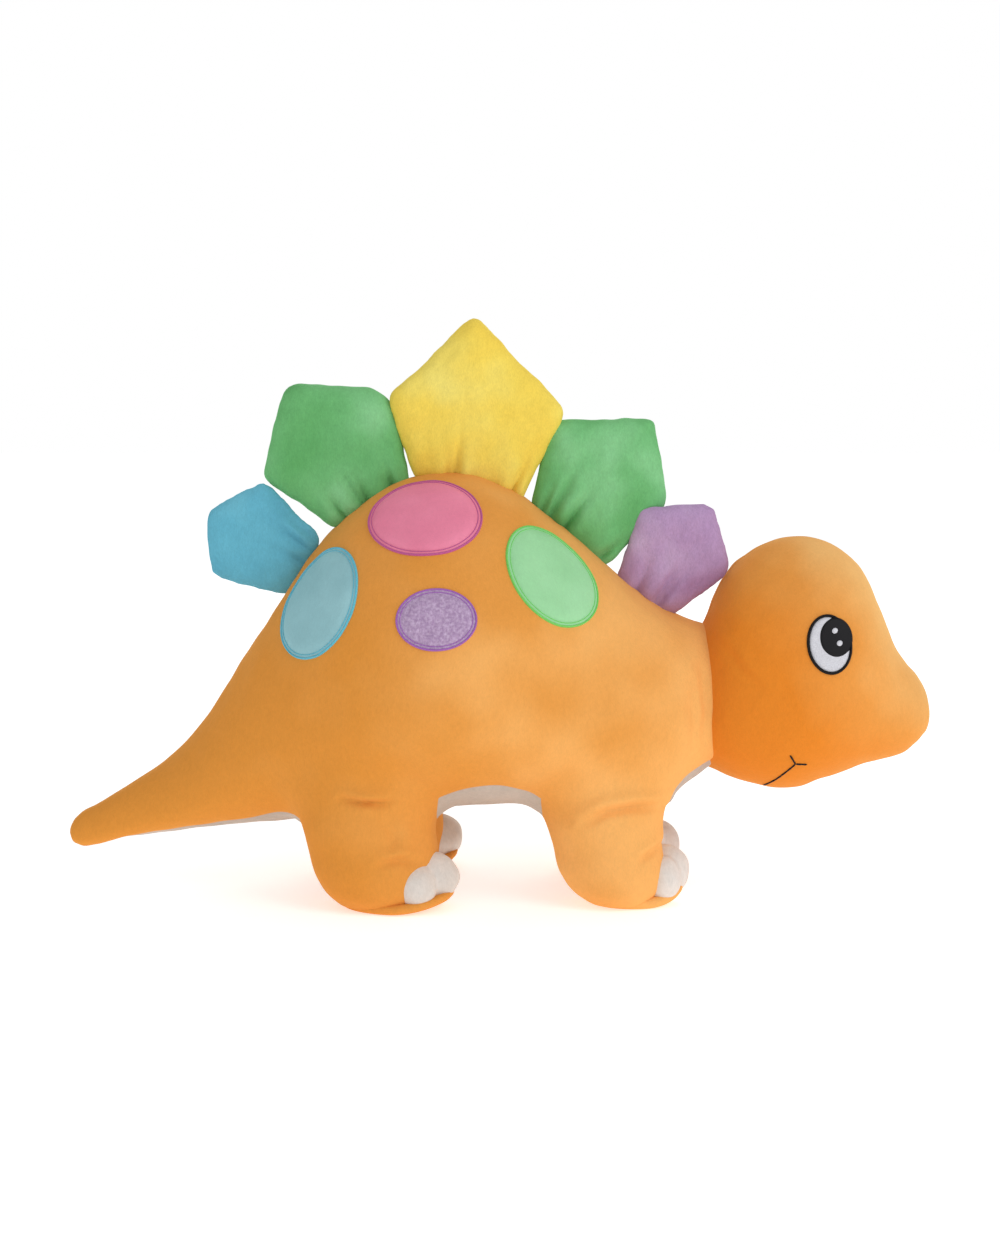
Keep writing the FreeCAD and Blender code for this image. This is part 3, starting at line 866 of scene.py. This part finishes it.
def swell(points, quads, held):
    """The pad after Blender's cloth, under pressure from inside, has filled it. Held points stay."""
    scene = bpy.context.scene
    mesh = bpy.data.meshes.new("swelling")
    mesh.from_pydata((points * MM).tolist(), [], quads.tolist())
    pad = add_object("swelling", mesh)
    pad.vertex_groups.new(name="held").add(np.flatnonzero(held).tolist(), 1.0, "REPLACE")
    cloth = pad.modifiers.new("swelling", "CLOTH").settings
    cloth.vertex_group_mass = "held"
    cloth.use_pressure = True
    cloth.uniform_pressure_force = SWELL_PRESSURE
    cloth.effector_weights.gravity = 0
    for number in range(1, SWELL_FRAMES + 1):
        scene.frame_set(number)
    filled = pad.evaluated_get(bpy.context.evaluated_depsgraph_get()).to_mesh()
    places = np.empty(3 * len(points))
    filled.vertices.foreach_get("co", places)
    scene.frame_set(1)
    bpy.data.objects.remove(pad)
    move = places.reshape(-1, 3) / MM - points
    length = np.linalg.norm(move, axis=1)
    return points + move * np.minimum(1, SWELL / np.maximum(length, 1e-6))[:, None]


def gather_depth(gathers, base_length, height, across):
    """From 0 to 1: how deep the folds are that fan out from the seam along a plate's base."""
    total = np.zeros(len(height))
    rise = np.maximum(height - GATHER_START, 0)
    lip_place, lip_width, lip_share = GATHER_LIP
    for spot, reach in zip(gathers, itertools.cycle(GATHER_REACH)):
        spread = spot + (spot - 0.5) * GATHER_FAN * height / base_length
        away = np.abs(across - spread) * base_length
        crease = np.exp(-(away / GATHER_WIDTH) ** 1.4)
        lip = np.exp(-((away - lip_place) / lip_width) ** 2)
        total += (crease - lip_share * lip) * np.exp(-(rise / reach) ** 1.5)
    return np.minimum(total, 1)


def make_plate(name, plate):
    """A stuffed pentagon, gathered where it enters the back's seam."""
    corners = np.array(plate["corners"], float)
    base = corners[0]
    base_length = np.linalg.norm(corners[-1] - base)
    along = (corners[-1] - base) / base_length
    upward = np.array([-along[1], along[0]])
    low, high = corners.min(0) - PLATE_MARGIN, corners.max(0) + PLATE_MARGIN
    thin = plate["half"] * PLATE_FLAT_SHARE
    side = thin + PLATE_SIDE_MARGIN
    field = plate_field(corners, thin)
    points, quads = surface_net(field, (low[0], -side, low[1]), (high[0], side, high[1]), PLATE_STEP)
    for _ in range(3):
        points = settle(even_out(points, quads), field, 2)
    points = swell(points, quads, (points[:, [0, 2]] - base) @ upward < SEWN_HEIGHT)
    points, faces = refine(points, to_triangles(quads))
    points = even_out(points, faces)
    flat = points[:, [0, 2]] - base
    height, across = flat @ upward, flat @ along / base_length
    gather = gather_depth(plate["gathers"], base_length, height, across)
    pinch = 1 - BASE_PINCH * np.exp(-np.maximum(height - GATHER_START, 0) / PINCH_HEIGHT)
    points[:, 1] *= pinch * (1 - GATHER_DEPTH * gather)
    points += point_normals(points, faces) * waviness(points, PLATE_WAVES)[:, None]
    points[:, 1] += math.tan(math.radians(plate["lean"])) * height
    piece = make_piece(f"plate_{name}", points, faces, plate["colour"], point_normals(points, faces))
    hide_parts(f"plate_{name}_cover", f"plate_{name}_stuffing")
    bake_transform(piece)


# ---- what is sewn on the surface ----
def on_surface(tree, x, z, sign):
    """Where a line along Y from one side first meets a skin: points and normals."""
    points, normals = [], []
    start_y = 250 * sign
    for px, pz in zip(x, z):
        place, normal, _, _ = tree.ray_cast(Vector((px, start_y, pz)), Vector((0, -sign, 0)))
        if place is None:
            place, normal, _, _ = tree.find_nearest(Vector((px, 20 * sign, pz)))
        points.append(place)
        normals.append(normal)
    return np.array(points), np.array(normals)


def drop(tree, points, normal):
    """Where points over a skin land on it when they go straight down along a normal: places and normals."""
    places, normals = [], []
    start_height = 60
    for point in points:
        place, facing, _, _ = tree.ray_cast(Vector(point + start_height * normal), Vector(-normal))
        if place is None:
            place, facing, _, _ = tree.find_nearest(Vector(point))
        places.append(place)
        normals.append(facing)
    return np.array(places), np.array(normals)


def laid_oval(tree, oval, sign, around):
    """An oval, flat on the slope at its middle and then laid on the skin, that looks as given in side view.

    Returns a function that gives a ring of places and normals, and the oval's least reach from its middle."""
    x, z, half_long, half_short, tilt = oval
    turn = math.radians(tilt)
    angle = np.linspace(0, 2 * np.pi, around, endpoint=False)
    u, v = half_long * np.cos(angle), half_short * np.sin(angle)
    dx = u * math.cos(turn) - v * math.sin(turn)
    dz = u * math.sin(turn) + v * math.cos(turn)
    for _ in range(3):
        (middle,), (normal,) = on_surface(tree, [x], [z], sign)
        arms = np.stack([dx, -(dx * normal[0] + dz * normal[2]) / normal[1], dz], 1)
        outline, _ = drop(tree, middle + arms, normal)
        x += oval[0] - outline[:, 0].mean()
        z += oval[1] - outline[:, 2].mean()
    lengths = np.linalg.norm(arms, axis=1)[:, None]

    def ring(share, inset):
        """The ring at a share of the way out, after the oval has shrunk by the inset."""
        return drop(tree, middle + arms * share * (1 - inset / lengths), normal)

    return ring, lengths.min()


def oval_patch(tree, oval, sign, rise, edge, inset=0.0, around=120, layers=18):
    """A domed oval patch on a skin: it stands off by rise, and its rim turns down over the width edge."""
    ring, reach = laid_oval(tree, oval, sign, around)
    rings = []
    for share in 1 - np.linspace(0, 1, layers) ** 1.6:
        place, normal = ring(max(share, 0.004), inset)
        inward = (1 - share) * reach / edge
        rim_depth = 0.15 if share > 0.999 else 0
        rings.append(place + normal * (rise * math.sqrt(min(1, inward)) - rim_depth))
    return ring_mesh(rings, turned=sign > 0)


def stitched_band(tree, oval, sign, width, rise, inset=0.0, stitch=0.55):
    """A ring of satin stitching: threads laid across a narrow oval band."""
    stitches = int(math.pi * (oval[2] + oval[3]) / stitch)
    ring, _ = laid_oval(tree, oval, sign, stitches * 3)
    ridge = np.tile([0.0, 1.0, 0.0], stitches)
    rings = []
    for step in np.linspace(0, 1, 7):
        place, normal = ring(1.0, inset + width * step)
        crown = math.sin(math.pi * step) ** 0.6 if 0 < step < 1 else 0
        lift = rise * crown * (0.82 + 0.18 * ridge) - (0.25 if crown == 0 else 0)
        rings.append(place + normal * lift[:, None])
    return ring_mesh(rings, turned=sign > 0)


def merge(parts):
    """Several meshes of points and quads as one."""
    points, faces, start = [], [], 0
    for part_points, part_faces in parts:
        points.append(part_points)
        faces.append(part_faces + start)
        start += len(part_points)
    return np.concatenate(points), np.concatenate(faces)


def make_spots(body_tree):
    start, width = SHADE_LINE
    for name, (oval, cloth, border_thread) in SPOTS.items():
        patches, borders = [], []
        for sign in SIDES.values():
            patches.append(oval_patch(body_tree, oval, sign, *CLOTH_RISE, inset=0.5))
            patches.append(oval_patch(body_tree, oval, sign, *DOME_RISE, inset=start + width / 2))
            borders.append(stitched_band(body_tree, oval, sign, BORDER_WIDTH, BORDER_RISE))
            # painted shade: this inner band of thread lies where the crease's shadow falls
            borders.append(stitched_band(body_tree, oval, sign, width, SHADE_LINE_RISE, inset=start))
        patch = make_piece(f"spot_{name}", *merge(patches), cloth)
        border = make_piece(f"spot_{name}_border", *merge(borders), border_thread)
        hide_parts(f"spot_{name}")
        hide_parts(f"spot_{name}_border")
        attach(patch, "torso")
        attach(border, "torso")


def make_thread(tree, path, sign):
    """A thin thread laid along a line on a skin."""
    path = np.array(path, float)
    lengths = np.linalg.norm(np.diff(path, axis=0), axis=1)
    places = np.concatenate([[0], np.cumsum(lengths)])
    steps = max(8, int(places[-1] / 0.8))
    along = np.linspace(0, places[-1], steps)
    x, z = np.interp(along, places, path[:, 0]), np.interp(along, places, path[:, 1])
    centre, normal = on_surface(tree, x, z, sign)
    tangent = np.gradient(centre, axis=0)
    tangent /= np.linalg.norm(tangent, axis=1)[:, None]
    across = np.cross(tangent, normal)
    radius = MOUTH_THREAD * (0.8 + 0.3 * np.abs(np.sin(np.pi * along / MOUTH_STITCH)))
    radius[0] = radius[-1] = MOUTH_THREAD * 0.3
    angle = np.linspace(0, 2 * np.pi, 10, endpoint=False)
    rings = []
    for step in range(steps):
        round_it = np.cos(angle)[:, None] * across[step] + np.sin(angle)[:, None] * normal[step]
        rings.append(centre[step] + normal[step] * 0.25 + radius[step] * round_it)
    return ring_mesh(rings)


def make_face(head_tree):
    for side, sign in SIDES.items():
        white = oval_patch(head_tree, EYE, sign, *EYE_RISE, inset=EYE_OUTLINE - EYE_TUCK)
        pupil = oval_patch(head_tree, PUPIL, sign, *PUPIL_RISE)
        outline = stitched_band(head_tree, EYE, sign, EYE_OUTLINE, EYE_OUTLINE_RISE)
        glints = [oval_patch(head_tree, glint, sign, *GLINT_RISE, around=32, layers=6) for glint in GLINTS]
        strokes = [make_thread(head_tree, path, sign) for path in MOUTH]
        parts = {
            "eye_white": ([white], "white_thread"),
            "eye_black": ([pupil, outline], "black_thread"),
            "eye_glints": (glints, "white_thread"),
            "mouth": (strokes, "black_thread"),
        }
        for name, (meshes, slot) in parts.items():
            piece = make_piece(f"{name}_{side}", *merge(meshes), slot)
            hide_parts(f"{name}_{side}")
            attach(piece, "head")


# ================ stage
def make_stage():
    mesh = bpy.data.meshes.new("floor")
    corners = [(-1, -1), (1, -1), (1, 1), (-1, 1)]
    mesh.from_pydata([(x * FLOOR_HALF, y * FLOOR_HALF, 0) for x, y in corners], [], [(0, 1, 2, 3)])
    floor = add_object("floor", mesh)
    paint = bpy.data.materials.new("floor_paint")
    paint.use_nodes = True
    sockets = paint.node_tree.nodes["Principled BSDF"].inputs
    sockets["Base Color"].default_value = (0.9, 0.9, 0.9, 1)
    sockets["Roughness"].default_value = 0.9
    sockets["Emission Color"].default_value = (1, 1, 1, 1)
    sockets["Emission Strength"].default_value = FLOOR_GLOW
    mesh.materials.append(paint)


def make_light(name, place, energy, size):
    light = bpy.data.lights.new(name, "AREA")
    light.energy = energy
    light.shape = "DISK"
    light.size = size
    lamp = add_object(name, light)
    lamp.location = place
    lamp.rotation_euler = (Vector(LIT_PLACE) - Vector(place)).to_track_quat("-Z", "Y").to_euler()


def make_lights():
    world = bpy.data.worlds.new("studio")
    bpy.context.scene.world = world
    world.use_nodes = True
    nodes, links = world.node_tree.nodes, world.node_tree.links
    nodes["Background"].inputs["Color"].default_value = (1, 1, 1, 1)
    ray = nodes.new("ShaderNodeLightPath")
    strength = nodes.new("ShaderNodeMapRange")
    strength.inputs["To Min"].default_value = ROOM_LIGHT
    strength.inputs["To Max"].default_value = BACKGROUND_LIGHT
    links.new(ray.outputs["Is Camera Ray"], strength.inputs["Value"])
    links.new(strength.outputs["Result"], nodes["Background"].inputs["Strength"])
    for name, lamp in LAMPS.items():
        make_light(name, **lamp)


def make_camera():
    camera = bpy.data.cameras.new("camera")
    camera.sensor_fit = "VERTICAL"
    camera.sensor_height = SENSOR_HEIGHT
    camera.lens = CAMERA_LENS
    camera.clip_start = 0.01
    holder = add_object("camera", camera)
    tilt = math.radians(CAMERA_ELEVATION)
    target = Vector(metres(*CAMERA_TARGET))
    away = Vector((0, -math.cos(tilt), math.sin(tilt))) * CAMERA_DISTANCE * MM
    holder.location = target + away
    holder.rotation_euler = (-away).to_track_quat("-Z", "Y").to_euler()
    bpy.context.scene.camera = holder
    bpy.context.scene.view_settings.view_transform = "Standard"


make_camera()
make_lights()
make_stage()
materials = make_materials()
body_tree = make_body()
head_tree = make_head()
for leg_end, leg_side in itertools.product(LEG_RINGS, SIDES):
    make_toes(leg_end, leg_side)
    make_sole(leg_end, leg_side)
for plate_name, plate in PLATES.items():
    make_plate(plate_name, plate)
make_spots(body_tree)
make_face(head_tree)
